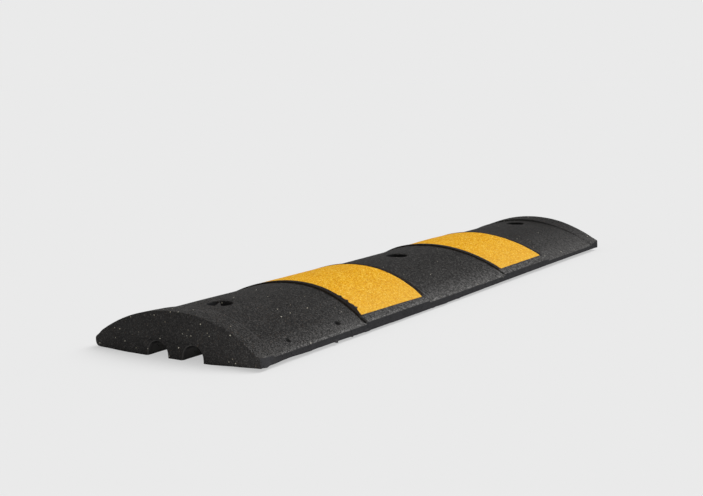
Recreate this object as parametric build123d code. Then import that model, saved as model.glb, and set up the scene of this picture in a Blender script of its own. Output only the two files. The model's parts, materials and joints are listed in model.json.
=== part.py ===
"""Crumb-rubber speed bump with yellow facings, two cable channels and bolt holes along its crest.

Sizes are in millimetres. X runs across the bump, Y along it and Z up.
The origin is the centre of the base, and the near end is at -Y.
"""
from build123d import *
from math import copysign, sqrt
import os

# Overall size
LENGTH = 1200.0
WIDTH = 300.0
HEIGHT = 65.0

# Cross-section: two drafted lips carry one crown arc, and the low zones lie a step below the raised ones.
# The base is flat under the middle and rises from there to the lips, which stand clear of the road.
RAISED_LIP_HEIGHT = 12.0
STEP_HEIGHT = 3.3
LIP_DRAFT = 2.0
LIP_ROUND = 3.0
LIP_CLEARANCE = 5.0
FLAT_HALF_WIDTH = 60.0

# Raised zones, measured along the lips: a rim at each end and two bands between them.
# Their edges are arcs in plan, which stand closer to mid length by the bow on the crest than at the lips.
RIM_LENGTH = 31.0
BAND_LENGTH = 203.0
BAND_PLACES = {"near": -242.0, "far": 242.0}
EDGE_BOW = 19.0

# Yellow facings let into the bands, with a black margin left around them
PANEL_THICKNESS = 3.0
PANEL_HALF_WIDTH = 136.0
PANEL_END_MARGIN = 12.5

# Cable channels under the body, with half-round tops and rounded mouths
CHANNEL_RADIUS = 18.0
CHANNEL_HEIGHT = 22.0
CHANNEL_OFFSET = 32.0
MOUTH_ROUND = 3.0

# Bolt holes on the crest, for M12 screws whose heads sit in the counterbores
HOLE_PLACES = {"near": -500.0, "middle": 0.0, "far": 500.0}
BOLT_HOLE_DIAMETER = 14.0
COUNTERBORE_DIAMETER = 38.0
SEAT_HEIGHT = 30.0

# Steel washers moulded in under the counterbores, so that a screw head can't pull through the rubber
WASHER_DIAMETER = 50.0
WASHER_THICKNESS = 3.0

# How far a cutting shape reaches past the surface that it opens
OVERRUN = 10.0

# How closely an edge's radius has to match to be taken for a channel mouth
RADIUS_TOLERANCE = 0.01

RAISED_HALF_TOP = WIDTH / 2 - LIP_DRAFT
CROWN_RISE = HEIGHT - RAISED_LIP_HEIGHT - LIP_CLEARANCE
CROWN_RADIUS = (RAISED_HALF_TOP**2 + CROWN_RISE**2) / (2 * CROWN_RISE)


def full_length(section):
    """Extrude a cross-section, drawn with x across and y up, from the near end to the far end."""
    return extrude(Plane.XZ.offset(LENGTH / 2) * section, amount=-LENGTH)


def bowed_zone(start, end, bow):
    """Space above the base between two lines across the bump, which run further along by a bow on the crest."""
    reach = WIDTH / 2
    near_edge = ThreePointArc((-reach, start), (0, start + bow), (reach, start))
    far_edge = ThreePointArc((reach, end), (0, end + bow), (-reach, end))
    outline = near_edge + Line((reach, start), (reach, end)) + far_edge + Line((-reach, end), (-reach, start))
    return extrude(make_face(outline), amount=HEIGHT + OVERRUN)


def crown_section(drop):
    """Cross-section with its crest and its lips lowered by a drop from the raised zones."""
    lip_height = RAISED_LIP_HEIGHT - drop
    lip_top = LIP_CLEARANCE + lip_height
    half_top = WIDTH / 2 - LIP_DRAFT * lip_height / RAISED_LIP_HEIGHT
    foot = Polyline(
        (-half_top, lip_top),
        (-WIDTH / 2, LIP_CLEARANCE),
        (-FLAT_HALF_WIDTH, 0),
        (FLAT_HALF_WIDTH, 0),
        (WIDTH / 2, LIP_CLEARANCE),
        (half_top, lip_top),
    )
    crown = ThreePointArc((half_top, lip_top), (0, HEIGHT - drop), (-half_top, lip_top))
    section = make_face(foot + crown)
    lip_corners = section.vertices().group_by(Axis.Y)[-1]
    return fillet(lip_corners, LIP_ROUND)


def pocket_section():
    """Space above the bed that a facing is bonded to, open at the top."""
    bed_radius = CROWN_RADIUS - PANEL_THICKNESS
    bed_edge = HEIGHT - CROWN_RADIUS + sqrt(bed_radius**2 - PANEL_HALF_WIDTH**2)
    top = HEIGHT + OVERRUN
    bed = ThreePointArc(
        (-PANEL_HALF_WIDTH, bed_edge), (0, HEIGHT - PANEL_THICKNESS), (PANEL_HALF_WIDTH, bed_edge)
    )
    sides = Polyline(
        (PANEL_HALF_WIDTH, bed_edge),
        (PANEL_HALF_WIDTH, top),
        (-PANEL_HALF_WIDTH, top),
        (-PANEL_HALF_WIDTH, bed_edge),
    )
    return make_face(bed + sides)


def band_zone(place, margin):
    """Space of the band at a place along the length, less a margin at both of its edges."""
    half_length = BAND_LENGTH / 2 - margin
    return bowed_zone(place - half_length, place + half_length, copysign(EDGE_BOW, -place))


def rim_zones():
    """Spaces of the two rims, which reach past the ends."""
    inner = LENGTH / 2 - RIM_LENGTH
    outer = LENGTH / 2 + EDGE_BOW + OVERRUN
    return bowed_zone(-outer, -inner, EDGE_BOW), bowed_zone(inner, outer, -EDGE_BOW)


def panel_pocket(place):
    """Pocket for the facing of the band at a place along the length."""
    return full_length(pocket_section()) & band_zone(place, PANEL_END_MARGIN)


def yellow_panel(place):
    """Facing that fills its pocket flush with the crown."""
    return panel_pocket(place) & full_length(crown_section(0))


def upright(diameter, low, high, place):
    """Round column on the crest line between two heights."""
    height_only = (Align.CENTER, Align.CENTER, Align.MIN)
    return Pos(0, place, low) * Cylinder(diameter / 2, high - low, align=height_only)


def bolt_hole(place):
    """Space for one fixing: bolt hole, washer and counterbore."""
    shank = upright(BOLT_HOLE_DIAMETER, -OVERRUN, SEAT_HEIGHT, place)
    washer_space = upright(WASHER_DIAMETER, SEAT_HEIGHT - WASHER_THICKNESS, SEAT_HEIGHT, place)
    counterbore = upright(COUNTERBORE_DIAMETER, SEAT_HEIGHT, HEIGHT + OVERRUN, place)
    return shank + washer_space + counterbore


def seat_washer(place):
    """Washer whose rim is held in the rubber and whose middle shows in the counterbore."""
    underside = SEAT_HEIGHT - WASHER_THICKNESS
    disc = upright(WASHER_DIAMETER, underside, SEAT_HEIGHT, place)
    return disc - upright(BOLT_HOLE_DIAMETER, underside, SEAT_HEIGHT, place)


def cable_channel(offset):
    """Channel along the whole length, open at the base: a half-round top on straight legs."""
    length = LENGTH + 2 * OVERRUN
    spring = Pos(offset, 0, CHANNEL_HEIGHT - CHANNEL_RADIUS)
    top = spring * Rot(90, 0, 0) * Cylinder(CHANNEL_RADIUS, length)
    legs = spring * Box(2 * CHANNEL_RADIUS, length, OVERRUN, align=(Align.CENTER, Align.CENTER, Align.MAX))
    return top + legs


def rubber_body():
    """Low crown along the whole length, raised rims and bands on it, and everything cut from it."""
    body = full_length(crown_section(STEP_HEIGHT))
    raised = full_length(crown_section(0))
    for zone in rim_zones():
        body += raised & zone
    for place in BAND_PLACES.values():
        body += raised & band_zone(place, 0)
        body -= panel_pocket(place)
    for offset in (-CHANNEL_OFFSET, CHANNEL_OFFSET):
        body -= cable_channel(offset)
    for place in HOLE_PLACES.values():
        body -= bolt_hole(place)
    arcs = body.edges().filter_by(GeomType.CIRCLE)
    mouths = [arc for arc in arcs if abs(arc.radius - CHANNEL_RADIUS) < RADIUS_TOLERANCE]
    return fillet(mouths, MOUTH_ROUND)


parts = {"rubber_body": rubber_body()}
for end, place in BAND_PLACES.items():
    parts[f"yellow_panel_{end}"] = yellow_panel(place)
for end, place in HOLE_PLACES.items():
    parts[f"seat_washer_{end}"] = seat_washer(place)

os.makedirs("parts", exist_ok=True)
for name, shape in parts.items():
    export_step(shape, f"parts/{name}.step")
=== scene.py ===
"""Looks of the crumb-rubber speed bump: detailed meshes, materials, light and the camera."""
from collections import namedtuple
import itertools
import json

import bmesh
import bpy
import numpy as np
from mathutils import Matrix, Vector


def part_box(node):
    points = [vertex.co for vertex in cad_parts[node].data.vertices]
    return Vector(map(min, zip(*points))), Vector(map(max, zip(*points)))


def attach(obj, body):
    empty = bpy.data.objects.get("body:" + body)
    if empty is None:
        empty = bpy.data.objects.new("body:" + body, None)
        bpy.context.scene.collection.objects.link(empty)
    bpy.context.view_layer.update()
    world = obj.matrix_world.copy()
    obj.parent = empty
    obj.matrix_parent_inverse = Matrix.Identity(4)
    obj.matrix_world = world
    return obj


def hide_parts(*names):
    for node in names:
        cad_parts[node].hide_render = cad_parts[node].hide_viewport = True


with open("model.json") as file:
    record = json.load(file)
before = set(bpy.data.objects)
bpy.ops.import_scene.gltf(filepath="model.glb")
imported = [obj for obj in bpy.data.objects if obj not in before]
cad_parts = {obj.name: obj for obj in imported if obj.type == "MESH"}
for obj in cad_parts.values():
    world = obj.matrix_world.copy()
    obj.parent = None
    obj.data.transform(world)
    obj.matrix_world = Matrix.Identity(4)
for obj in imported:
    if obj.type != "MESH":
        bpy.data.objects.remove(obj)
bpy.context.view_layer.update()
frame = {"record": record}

# Lengths are in millimetres, and are turned into metres where Blender takes them over
MM = 0.001

# Sizes read from the frame
HALF_WIDTH, HALF_LENGTH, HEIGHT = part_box("rubber_body")[1] / MM
PANEL_BOXES = {end: [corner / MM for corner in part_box(f"yellow_panel_{end}")] for end in ("near", "far")}
WASHER_BOXES = {
    end: [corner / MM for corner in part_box(f"seat_washer_{end}")] for end in ("near", "middle", "far")
}
PANEL_HALF_WIDTH = PANEL_BOXES["near"][1].x
HOLE_PLACES = {end: (low.y + high.y) / 2 for end, (low, high) in WASHER_BOXES.items()}
BOLT_HOLE_RADIUS = frame["record"]["mounts"][0]["dims"]["r_mm"]

# Cross-section of the body
LIP_HEIGHT = 12.0
LIP_CLEARANCE = 5.0
FLAT_HALF_WIDTH = 60.0
STEP_HEIGHT = 3.3
LIP_DRAFT = 2.0
CHANNEL_RADIUS = 18.0
CHANNEL_HEIGHT = 22.0
CHANNEL_OFFSET = 32.0

# The two lips as they came out of the mould: the left one is fuller, more rounded and lower at its foot.
# The clearance is a list of (station, height of the foot above the road).
Lip = namedtuple("Lip", "half_width draft top_round foot_round flat_half_width clearance")
LEFT_LIP = Lip(
    half_width=HALF_WIDTH + 1.2,
    draft=0.0,
    top_round=5.0,
    foot_round=8.0,
    flat_half_width=85.0,
    clearance=((-600.0, 2.4), (600.0, 2.4)),
)
RIGHT_LIP = Lip(
    half_width=HALF_WIDTH,
    draft=LIP_DRAFT,
    top_round=1.6,
    foot_round=1.0,
    flat_half_width=FLAT_HALF_WIDTH,
    clearance=(
        (-570.0, 5.1), (-550.0, 6.0), (-530.0, 6.2), (-505.0, 5.2), (-450.0, 5.5), (-330.0, 4.1),
        (-80.0, 3.7), (60.0, 5.0), (330.0, 6.4), (560.0, 6.4), (600.0, 5.4),
    ),
)

# Raised zones, measured along the lips, and how far their edges bow towards mid length on the crest
RIM_LENGTH = 31.0
RIM_LINE = HALF_LENGTH - RIM_LENGTH
EDGE_BOW = 19.0
PANEL_END_MARGIN = 12.5

# Worn way up from a low zone to a raised one: (distance past the zone's edge, share of the step's height).
# A band has a steep riser, and a rim goes on rising to the end.
BAND_PROFILE = ((2.0, 0.0), (2.3, 0.45), (2.6, 0.85), (3.2, 0.95), (4.5, 1.0))
NEAR_RIM_PROFILE = ((-40.0, 0.0), (-1.0, 0.15), (0.0, 0.60), (1.0, 1.1), (3.0, 1.2), (15.0, 1.4), (28.0, 1.6))
FAR_RIM_PROFILE = ((-1.0, 0.0), (0.0, 0.50), (1.0, 0.95), (2.2, 1.05), (12.0, 1.15), (26.0, 1.4))

# Share of the step's height that the near and the middle low zone have kept
NEAR_ZONE_SHARE = 0.22
MIDDLE_ZONE_SHARE = 0.12

# How far the rims stand proud of their profile at their ends, or short of it: (place across, height).
# The inner rises are those at their inner edges.
NEAR_RIM_RISE = (
    (-145.0, 0.0), (-142.0, 0.2), (-139.5, 1.3), (-100.0, 0.8), (-60.0, 0.4), (0.0, 0.3),
    (40.0, 1.0), (100.0, 1.2), (118.0, 0.6), (130.0, -1.4), (140.0, -1.6), (147.0, -0.6),
)
NEAR_RIM_INNER_RISE = ((40.0, 0.0), (100.0, -0.8), (147.0, -1.5))
FAR_RIM_RISE = ((90.0, 0.0), (112.0, 0.7), (137.0, 1.6), (147.0, 2.7))
FAR_RIM_INNER_RISE = ((20.0, 0.0), (80.0, -1.6), (147.0, -1.8))
RIM_RISE_RUN = 25.0
RIM_EDGE_RUN = 1.0

# How far the right lip is spread at the far end, and the share of the half width that this starts at
FAR_LIP_SPREAD = 2.0
FAR_LIP_SPREAD_START = 0.9

# Ends of the body
END_ROUND = 0.6
MOUTH_ROUND = 3.0
CORNER_ROUND = 0.6

# Yellow facings and their pockets
PANEL_THICKNESS = 3.0
PANEL_SUNK = 0.15
PANEL_ROUND = 0.8
PANEL_CORNER_ROUND = {"near": 1.5, "far": 4.0}
POCKET_WALL = 0.3

# How far the facings' right edges lie off their line at their first and last corners
PANEL_ASKEW = {"near": (-1.8, 1.8), "far": (-0.5, -1.0)}

# Torn places on the near edges of the near facing and of its band: (place across, half width, depth).
# They reach this far along.
PANEL_TEARS = ((88.5, 3.5, 4.0), (101.5, 3.2, 4.6), (113.5, 7.0, 3.6), (119.5, 3.2, 6.6), (134.0, 12.0, -2.7))
BAND_TEAR = (150.0, 14.0, 5.0)
TEAR_REACH = 9.5

# Counterbored holes
COUNTERBORE_RADIUS = 19.0
HOLE_ROUND = 1.5
HOLE_BLOCK = 27.0

# Tongue of flash left in the mouth of the near counterbore
TONGUE_BEARING = np.radians(-57.0)
TONGUE_HALF_ANGLE = np.radians(15.0)
TONGUE_LENGTH = 20.0
TONGUE_LIFT = 1.0

# Pits in the near slope: (place across, place along, half width, half length, depth)
PITS = ((132.0, -392.3, 5.0, 7.4, 3.6), (132.9, -515.7, 4.4, 5.6, 2.6))
PIT_REACH = 10.0

# Swells on the left slope: (place along, half length, height), and where they lie across
SWELLS = (
    (-480.0, 100.0, 0.6), (-340.0, 30.0, 0.6), (120.0, 38.0, 1.5),
    (265.0, 110.0, 0.9), (345.0, 45.0, 0.6), (522.0, 34.0, 2.2),
)
SWELL_PLACE = -75.0
SWELL_HALF_WIDTH = 60.0

# Unevenness of the moulding: depth, size and seed of each kind
Unevenness = namedtuple("Unevenness", "depth size seed")
GRAIN = Unevenness(0.06, 5.0, 1)
WAVES = Unevenness(0.30, 60.0, 2)
PANEL_GRAIN = Unevenness(0.08, 4.5, 3)
WANDER_ACROSS, WANDER_ALONG = (Unevenness(0.45, 20.0, seed) for seed in (5, 6))
FIRST_EDGE_RAG, LAST_EDGE_RAG, SIDE_EDGE_RAG = (Unevenness(0.55, 7.0, seed) for seed in (11, 12, 13))

# Flash along the foot of the lips, where its unevenness is past a cut,
# and tongues of it on the right side: (place along, half width, length)
FLASH = Unevenness(2.0, 9.0, 7)
FLASH_CUT = 0.5
FLASH_HEIGHT = 2.5
FLASH_DROOP = 0.6
FLASH_TONGUES = ((-588.0, 9.0, 1.4), (-422.0, 5.0, 3.0), (-380.0, 3.5, 1.4))

# Numbers that scramble the cells of the noise
NOISE_STRIDES = np.array([127.1, 311.7, 74.7])
NOISE_SEED_STRIDE = 19.19
NOISE_SCRAMBLE = 43758.5453

# Fineness of the meshes
SPACING = 2.7
FINE_SPACING = 1.3
PANEL_SPACING = 1.7
FINE_START = 78.0
FINE_COLUMNS = {"left": 16, "right": 38}
EDGE_COLUMNS = 6
RIB_COLUMNS = 10
CHANNEL_COLUMNS = 15
FOOT_TURNS = 5
LIP_STEPS = 3
LIP_TURNS = 4
WALL_STEPS = 7
HOLE_APRON_SHARES = (0.33, 0.66, 1.0)
EDGE_TURNS = np.radians([0, 30, 60, 90])
END_ROWS = np.array([0, 0.2, 0.75, 1.5, 3.0])
PANEL_EDGE_ROWS = np.array([0, 0.3, 0.8])
BASE_ROW_STRIDE = 4
STATION_DIGITS = 3
WASHER_TURNS = 72
WASHER_FACE_STEPS = 4
WASHER_ROUND = 0.5
SLACK = 0.1

# Granules: their sizes at the near end and further along, and where these change; spacing of other grains
BLACK_GRANULES = (1.25, 2.1)
YELLOW_GRANULES = (1.3, 1.6)
GRANULES_CHANGE = (-450, 250)
PORE_SPACING = 3.4
FLECK_SPACING = 8.3

# Noise of the materials: (size, detail) and, where its range is changed, (from, to, first, last value)
LIP_NOISE = (8.0, 2.0)
BLACK_PATCH_NOISE = (24.0, 2.0)
YELLOW_PATCH_NOISE = (30.0, 2.0)
GRANULE_NOISE = (1.1, 3.0)
ZINC_NOISE = (3.0, 4.0)
ZINC_BUMP_NOISE = (0.8, 3.0)
RUST_PATCHES = (5.0, 5.0, 0.60, 0.68)
DUST_AND_SHEEN_PATCHES = (4.0, 4.0, 0.35, 0.65, 0.7, 1.0)
LIP_DUST_AND_HIGHLIGHT_PATCHES = (7.0, 3.0, 0.40, 0.60, 0.3, 1.0)
CREASE_RAG = (5.0, 3.0, 0.3, 0.7, -2.0, 2.0)
BAND_SHADE_RAG = (3.0, 3.0, 0.3, 0.7, -1.5, 1.5)
BLACK_ROUGHNESS = (6.0, 2.0, 0.3, 0.7, 0.86, 0.98)
YELLOW_ROUGHNESS = (5.0, 2.0, 0.3, 0.7, 0.80, 0.95)
ZINC_ROUGHNESS = (2.0, 3.0, 0.3, 0.7, 0.38, 0.62)

# Bumps of the materials: (height, strength)
GRANULE_BUMP = (0.4, 0.6)
ZINC_BUMP = (0.1, 0.4)

# Tones that a material takes on from place to place: (share, red, green, blue)
BLACK_TONES = (
    (0.0, 0.0060, 0.0058, 0.0057), (0.45, 0.0170, 0.0164, 0.0161),
    (0.85, 0.0350, 0.0335, 0.0325), (1.0, 0.0700, 0.0670, 0.0640),
)
BLACK_PATCHES = ((0.30, 0.9, 0.9, 0.9), (0.70, 1.1, 1.1, 1.1))
LIP_TONES = ((0.3, 0.025, 0.025, 0.027), (0.7, 0.031, 0.031, 0.034))
# Pale dust and painted sheen on the lower slopes
DUST_AND_SHEEN_TONES = ((0.0, 0.027, 0.027, 0.027), (0.5, 0.071, 0.069, 0.068), (1.0, 0.200, 0.196, 0.192))
# Pale dust and a painted highlight along the lips' edges
LIP_DUST_AND_HIGHLIGHT_TONES = ((0.0, 0.040, 0.040, 0.040), (0.5, 0.120, 0.118, 0.116), (1.0, 0.380, 0.372, 0.364))
FLECK_TONES = ((0.0, 0.14, 0.12, 0.09), (0.5, 0.45, 0.41, 0.32), (1.0, 0.95, 0.90, 0.75))
YELLOW_TONES = (
    (0.0, 0.54, 0.180, 0.001), (0.35, 0.73, 0.335, 0.007),
    (0.75, 0.81, 0.430, 0.015), (1.0, 0.94, 0.690, 0.130),
)
YELLOW_PATCHES = ((0.30, 0.97, 0.96, 0.92), (0.70, 1.03, 1.04, 1.08))
ZINC_TONES = ((0.3, 0.44, 0.44, 0.45), (0.7, 0.64, 0.64, 0.65))

# Plain colours of the materials
BROWN_GRANULE = (0.045, 0.032, 0.024, 1)
CUT_RUBBER = (0.0240, 0.0230, 0.0225, 1)
# Painted highlight along the near rim's inner edge
RIM_HIGHLIGHT = (0.045, 0.043, 0.042, 1)
# Painted shade on the near band's end margins, the far band's margin tone, and painted light on the risers'
# faces
NEAR_MARGIN_SHADE = (0.0112, 0.0086, 0.0072, 1)
FAR_MARGIN = (0.0200, 0.0190, 0.0190, 1)
RISER_LIGHT = (0.0200, 0.0148, 0.0112, 1)
# Near black of the dark pores between the granules, and of the painted shade in the pits and counterbores
PORE_AND_SHADE_BLACK = (0.006, 0.006, 0.006, 1)
# Dark colour of the painted shade at the foot of the far rim and of the near band
CORNER_SHADE = (0.0090, 0.0082, 0.0075, 1)
# Painted shade of the crease across the near end
CREASE_SHADE = (0.008, 0.008, 0.008, 1)
# Painted shade at the channels' tops, and painted light on their walls and rounded mouths
CHANNEL_TOP_SHADE = (0.004, 0.004, 0.004, 1)
CHANNEL_WALL_LIGHT = (0.085, 0.081, 0.078, 1)
DEEP_CHANNEL_LIGHT = (0.280, 0.270, 0.260, 1)
MOUTH_LIGHT = (0.115, 0.110, 0.106, 1)
# Paler yellow of wear and painted sheen, towards the lips
WORN_AND_SHEEN_YELLOW = (0.78, 0.47, 0.095, 1)
DARK_YELLOW = (0.20, 0.085, 0.015, 1)
RUST = (0.22, 0.095, 0.040, 1)

# Shares, tints, gloss and places of what is on the materials
MIDDLE_TONE = 0.5
FAR_ZONE_EVENNESS = 0.4
CUT_EVENNESS = 0.5
LIP_SMOOTHNESS = 0.8
LIP_BUMPS = 0.3
NEAR_RIM_TINT = 1.18
NEAR_RIM_DUST_AND_SHEEN = 0.6
MARGIN_TINTS = (0.4, 1.6)
PORE_PICK = 0.78
FLECK_PICKS = (0.87, 0.25)
# Share of painted shade down in each counterbore
HOLE_SHADE = {"near": 0.4, "middle": 0.8, "far": 0.8}
RUST_METALLIC = 0.1
BLACK_GLOSS = 0.1
YELLOW_GLOSS = 0.05
CREASE_PLACE = -17.0
CREASE_HEIGHT = CHANNEL_HEIGHT + 1.2
# Offsets of the painted shade at the foot of the far rim and of the near band
RIM_SHADE_OFFSET = 0.8
BAND_SHADE_INSET = 3.0

# How a share changes with a value: (start, end, share before, share after), or from 0 to 1 without shares.
# Along the body:
DARKER_ALONG = (-500, 200, 1.04, 0.93)
FAR_ZONE = (250, 400)
LIP_PALE_END = (-585, -560, 1.35, 1.0)
FOOT_DUST_AND_SHEEN_ALONG = (-450, -250, 0.60, 0.95)
UPPER_DUST_AND_SHEEN_STARTS = (-460, -370, 0.04, 0.21)
UPPER_DUST_AND_SHEEN_THINS = (-360, -100, 1.0, 0.85)
LIP_DUST_AND_HIGHLIGHT_STARTS = (-580, -545, 0.1, 0.41)
LIP_DUST_AND_HIGHLIGHT_ENDS = (-100, 250, 1.0, 0.0)

# Across it, the first two from the crest to the right and the others to both sides:
# Painted light on the cut ends, rising towards the right
END_PAINTED_LIGHT = (0, 140, 1.35, 2.0)
RIM_DARK_ENDS_RIGHT = (30, 75, 1.0, 0.0)
FOOT_DUST_AND_SHEEN = (118, 151)
UPPER_DUST_AND_SHEEN = (70, 115)
FAR_FOOT_DUST_AND_SHEEN = (115, 148, 0.0, 0.48)
FAR_UPPER_DUST_AND_SHEEN = (60, 120, 0.0, 0.45)
LIP_DUST_AND_HIGHLIGHT = (144, 146)
RIM_HIGHLIGHT_STARTS = (30, 60)
RIM_SHADE_LINE_ENDS = (95, 135, 1.0, 0.0)
BAND_SHADE_ENDS = (146.5, 148, 1.0, 0.0)
YELLOW_WEAR_AND_SHEEN = (50, 140, 0.0, 0.35)

# Into the channels from their mouths, and in the last two down from their tops:
# Where the painted light on the channels' walls and mouths and the painted shade at their tops lie
MOUTH_LIGHT_ENDS = (1.8, 2.7, 0.7, 0.0)
CHANNEL_SHADE_STARTS = (2.25, 3)
CHANNEL_LIGHT_STARTS = (3, 12, 0.45, 1.0)
CHANNEL_LIGHT_PALES = (8, 40)
CHANNEL_LIGHT_ENDS = (60, 130, 0.95, 0.0)
CHANNEL_LIGHT_BELOW = (3, 8)
CHANNEL_SHADE_ABOVE = (3, 6, 0.9, 0.0)

# From a line, an edge or a place:
ON_RIM = (-1, 1)
CREASE_LINE = (0.3, 1.2, 0.6, 0.0)
CREASE_RUN = (40, 50, 1.0, 0.0)
MARGIN_EDGE = (-1.5, 1, 1.0, 0.0)
MARGIN_SIDE = (-2, 3, 1.0, 0.0)
RIM_HIGHLIGHT_LINE = (1.5, 4.5, 0.4, 0.0)
RIM_SHADE_LINE = (1, 3, 0.55, 0.0)
RIM_DARK_STARTS = (-60, -4)
RIM_DARK_STOPS = (-3, 0, 1.0, 0.2)
BAND_SHADE_LINE = (2.6, 4.6, 0.9, 0.0)
BAND_SHADE_STARTS = (-2, 3)
# Painted shade in the counterbores, from just below their rounded mouths down
HOLE_SHADE_BELOW = (-1.1, 0.1, 1.0, 0.0)

# From the middle of a pit, a pore or a fleck, as a share of its size:
# The first is the pits' painted shade
PIT_EDGE = (0.60, 0.95, 0.92, 0.0)
PORE_EDGE = (0.20, 0.32, 0.85, 0.0)
FLECK_EDGE = (0.08, 0.12, 1.0, 0.0)

# With the way that a face is turned, or with a random number per granule:
END_FACING = (0.6, 0.9)
LIP_FACING = (0.70, 0.90)
RISER_FACING = (0.35, 0.70)
DUST_AND_SHEEN_LIES = (0.35, 0.80)
LIP_DUST_AND_HIGHLIGHT_LIES = (0.20, 0.50)
BROWN_PICK = (0.97, 0.98)
DARK_YELLOW_PICK = (0.993, 0.996, 0.0, 0.7)

# Camera, from a fit to the photograph: its place in metres and its angles in degrees
PHOTO_WIDTH = 703
CAMERA_FOCAL_PIXELS = 1154.67
CAMERA_AZIMUTH = 33.104
CAMERA_ELEVATION = 8.443
CAMERA_ROLL = -1.039
CAMERA_AIM = Vector((0.197934, -0.451863, 0.1487))
CAMERA_DISTANCE = 1.588616
SENSOR_WIDTH = 36.0

# Light: even sky and one broad key, which add up to 1 on the floor
FLOOR_GREY = 0.823
FLOOR_GLOW = 0.6
FLOOR_REACH = 60000.0
SKY_LEVEL = 0.35
KEY_DIRECTION = Vector((0.44, 0.40, 0.80))
KEY_ANGLE = np.radians(50)

# Sockets of the colour side of a mix node, by number
MIX_SHARE, MIX_FIRST, MIX_SECOND, MIX_RESULT = 0, 6, 7, 2


def uneven(kind, x, y, z):
    """Smooth noise of one kind at each place, up to its depth either way."""
    cells = np.stack(np.broadcast_arrays(x, y, z), -1) / kind.size
    low = np.floor(cells)
    part = cells - low
    ease = part * part * (3 - 2 * part)
    total = np.zeros(cells.shape[:-1])
    for corner in itertools.product((0, 1), repeat=3):
        share = np.prod(np.where(np.array(corner) == 1, ease, 1 - ease), axis=-1)
        dots = (low + corner) @ NOISE_STRIDES + kind.seed * NOISE_SEED_STRIDE
        total += share * (np.mod(np.sin(dots) * NOISE_SCRAMBLE, 1.0) * 2 - 1)
    return kind.depth * total


def hump(offset, half_width):
    """Smooth hump: 1 at no offset, 0 from the half width on."""
    return np.cos(np.clip(np.abs(offset) / half_width, 0, 1) * np.pi) / 2 + 0.5


def rounding(distance, radius):
    """How far a rounded edge has drawn back at a distance from the face that it turns into."""
    reach = np.clip(radius - distance, 0, radius)
    return radius - np.sqrt(radius**2 - reach**2)


def spread(breaks, spacing):
    """Places from the first break to the last, about a spacing apart, with one at every break."""
    places = [breaks[0]]
    for start, end in zip(breaks, breaks[1:]):
        count = max(1, round((end - start) / spacing))
        places.extend(np.linspace(start, end, count + 1)[1:])
    return np.array(places)


def rim_of(grid):
    """Numbers round the edge of a grid, in order."""
    return np.concatenate([grid[:-1, 0], grid[-1, :-1], grid[:0:-1, -1], grid[0, :0:-1]])


class Shell:
    """Points and faces of one piece, gathered patch by patch."""

    def __init__(self):
        self.points = np.empty((0, 3))
        self.faces = []

    def add(self, points):
        """Adds an array of points and returns their numbers in the same layout."""
        points = np.asarray(points, float)
        numbers = len(self.points) + np.arange(points[..., 0].size).reshape(points.shape[:-1])
        self.points = np.concatenate([self.points, points.reshape(-1, 3)])
        return numbers

    def patch(self, numbers, openings=()):
        """Joins a grid of point numbers with quads, leaves blocks of it open and returns their rims.

        Each opening is (first column, last column, first row, last row).
        """
        keep = np.ones(np.subtract(numbers.shape, 1), bool)
        rims = []
        for first_column, last_column, first_row, last_row in openings:
            keep[first_column:last_column, first_row:last_row] = False
            rims.append(rim_of(numbers[first_column:last_column + 1, first_row:last_row + 1]))
        quads = np.stack([numbers[:-1, :-1], numbers[1:, :-1], numbers[1:, 1:], numbers[:-1, 1:]], -1)
        self.faces.extend(quads[keep].tolist())
        return rims

    def band(self, ring, next_ring):
        """Joins two closed rings of the same count with quads."""
        rings = np.stack([ring, next_ring])
        self.patch(np.concatenate([rings, rings[:, :1]], axis=1))

    def tube(self, ring, rings):
        """Adds closed rings of points, joined one after the other to a first ring, and returns the last."""
        for points in rings:
            numbers = self.add(points)
            self.band(ring, numbers)
            ring = numbers
        return ring

    def mesh_object(self, name):
        """Makes the Blender object, with its faces turned outwards."""
        mesh = bpy.data.meshes.new(name)
        mesh.from_pydata(self.points * MM, [], self.faces)
        work = bmesh.new()
        work.from_mesh(mesh)
        bmesh.ops.recalc_face_normals(work, faces=work.faces)
        work.to_mesh(mesh)
        work.free()
        mesh.shade_smooth()
        made = bpy.data.objects.new(name, mesh)
        bpy.context.scene.collection.objects.link(made)
        return made


# Cross-section of the body

def crown_circle(drop):
    """Centre height and radius of the crown's arc on the section that is lowered by a drop."""
    half_top = HALF_WIDTH - LIP_DRAFT * (LIP_HEIGHT - drop) / LIP_HEIGHT
    rise = HEIGHT - LIP_HEIGHT - LIP_CLEARANCE
    radius = (half_top**2 + rise**2) / (2 * rise)
    return HEIGHT - drop - radius, radius


def crown_height(x, drop, inset=0.0):
    """Height of the crown at a distance from its middle, or of the surface an inset below it."""
    centre, radius = crown_circle(drop)
    return centre + np.sqrt((radius - inset)**2 - x**2)


def lip_top(drop, inset, lip):
    """Points (x, z) round the top of a lip on the right, from its face to the crown."""
    centre, radius = crown_circle(drop)
    up_lip = np.array([-lip.draft, LIP_HEIGHT]) / np.hypot(lip.draft, LIP_HEIGHT)
    inward = np.array([-up_lip[1], up_lip[0]])
    start = np.array([lip.half_width, LIP_CLEARANCE - centre]) + inward * lip.top_round
    travel = np.sqrt((start @ up_lip)**2 - start @ start + (radius - lip.top_round)**2) - start @ up_lip
    middle = start + up_lip * travel
    first = np.arctan2(-inward[1], -inward[0])
    last = np.arctan2(middle[1], middle[0])
    bend = np.linspace(first, last, LIP_TURNS + 1)
    turned = np.stack([np.cos(bend), np.sin(bend)], -1)
    return middle + np.array([0, centre]) + (lip.top_round - inset) * turned


def lip_foot(lip, place):
    """Height of a lip's foot above the road at a station."""
    stations, heights = np.array(lip.clearance).T
    return np.interp(place, stations, heights)


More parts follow.
